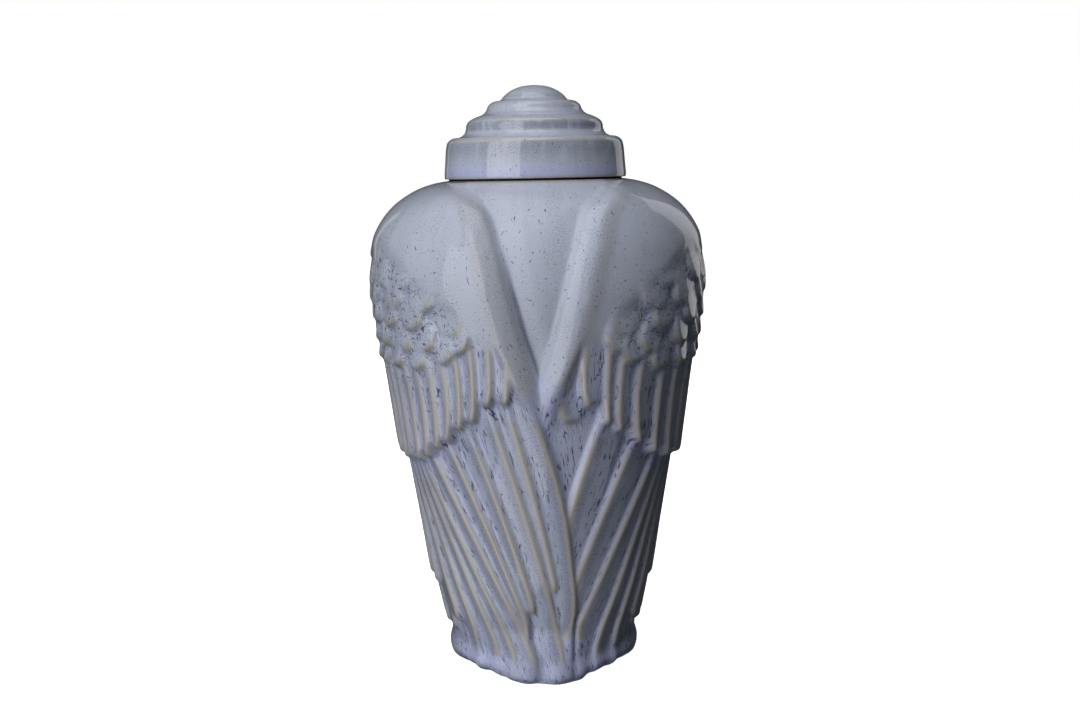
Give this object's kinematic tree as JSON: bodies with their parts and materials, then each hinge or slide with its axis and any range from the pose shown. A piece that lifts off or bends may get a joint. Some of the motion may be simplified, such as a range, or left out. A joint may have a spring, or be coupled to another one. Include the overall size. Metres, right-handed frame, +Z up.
{
  "type": "funeral urn",
  "caption": "Glazed earthenware funeral urn: a shouldered hollow vessel wrapped in a pair of folded wings, with a stepped round lid that lifts off.",
  "frame": {"origin": "middle of the flat underside, on the surface the urn stands on", "axes": "+Z up through the lid, -Y towards the front, where the wings cross, +X to the viewer's right"},
  "size_m": [0.1876, 0.1842, 0.3196],
  "materials": {
    "body_glaze": "glossy grey-blue reactive glaze that pools lavender and breaks to tan on the crests",
    "lid_glaze": "glossy grey-blue reactive glaze that pools lavender and breaks to tan on the edges"
  },
  "bodies": {
    "root": {"urn_body": "body_glaze", "lid": "lid_glaze"}
  },
  "joints": []
}
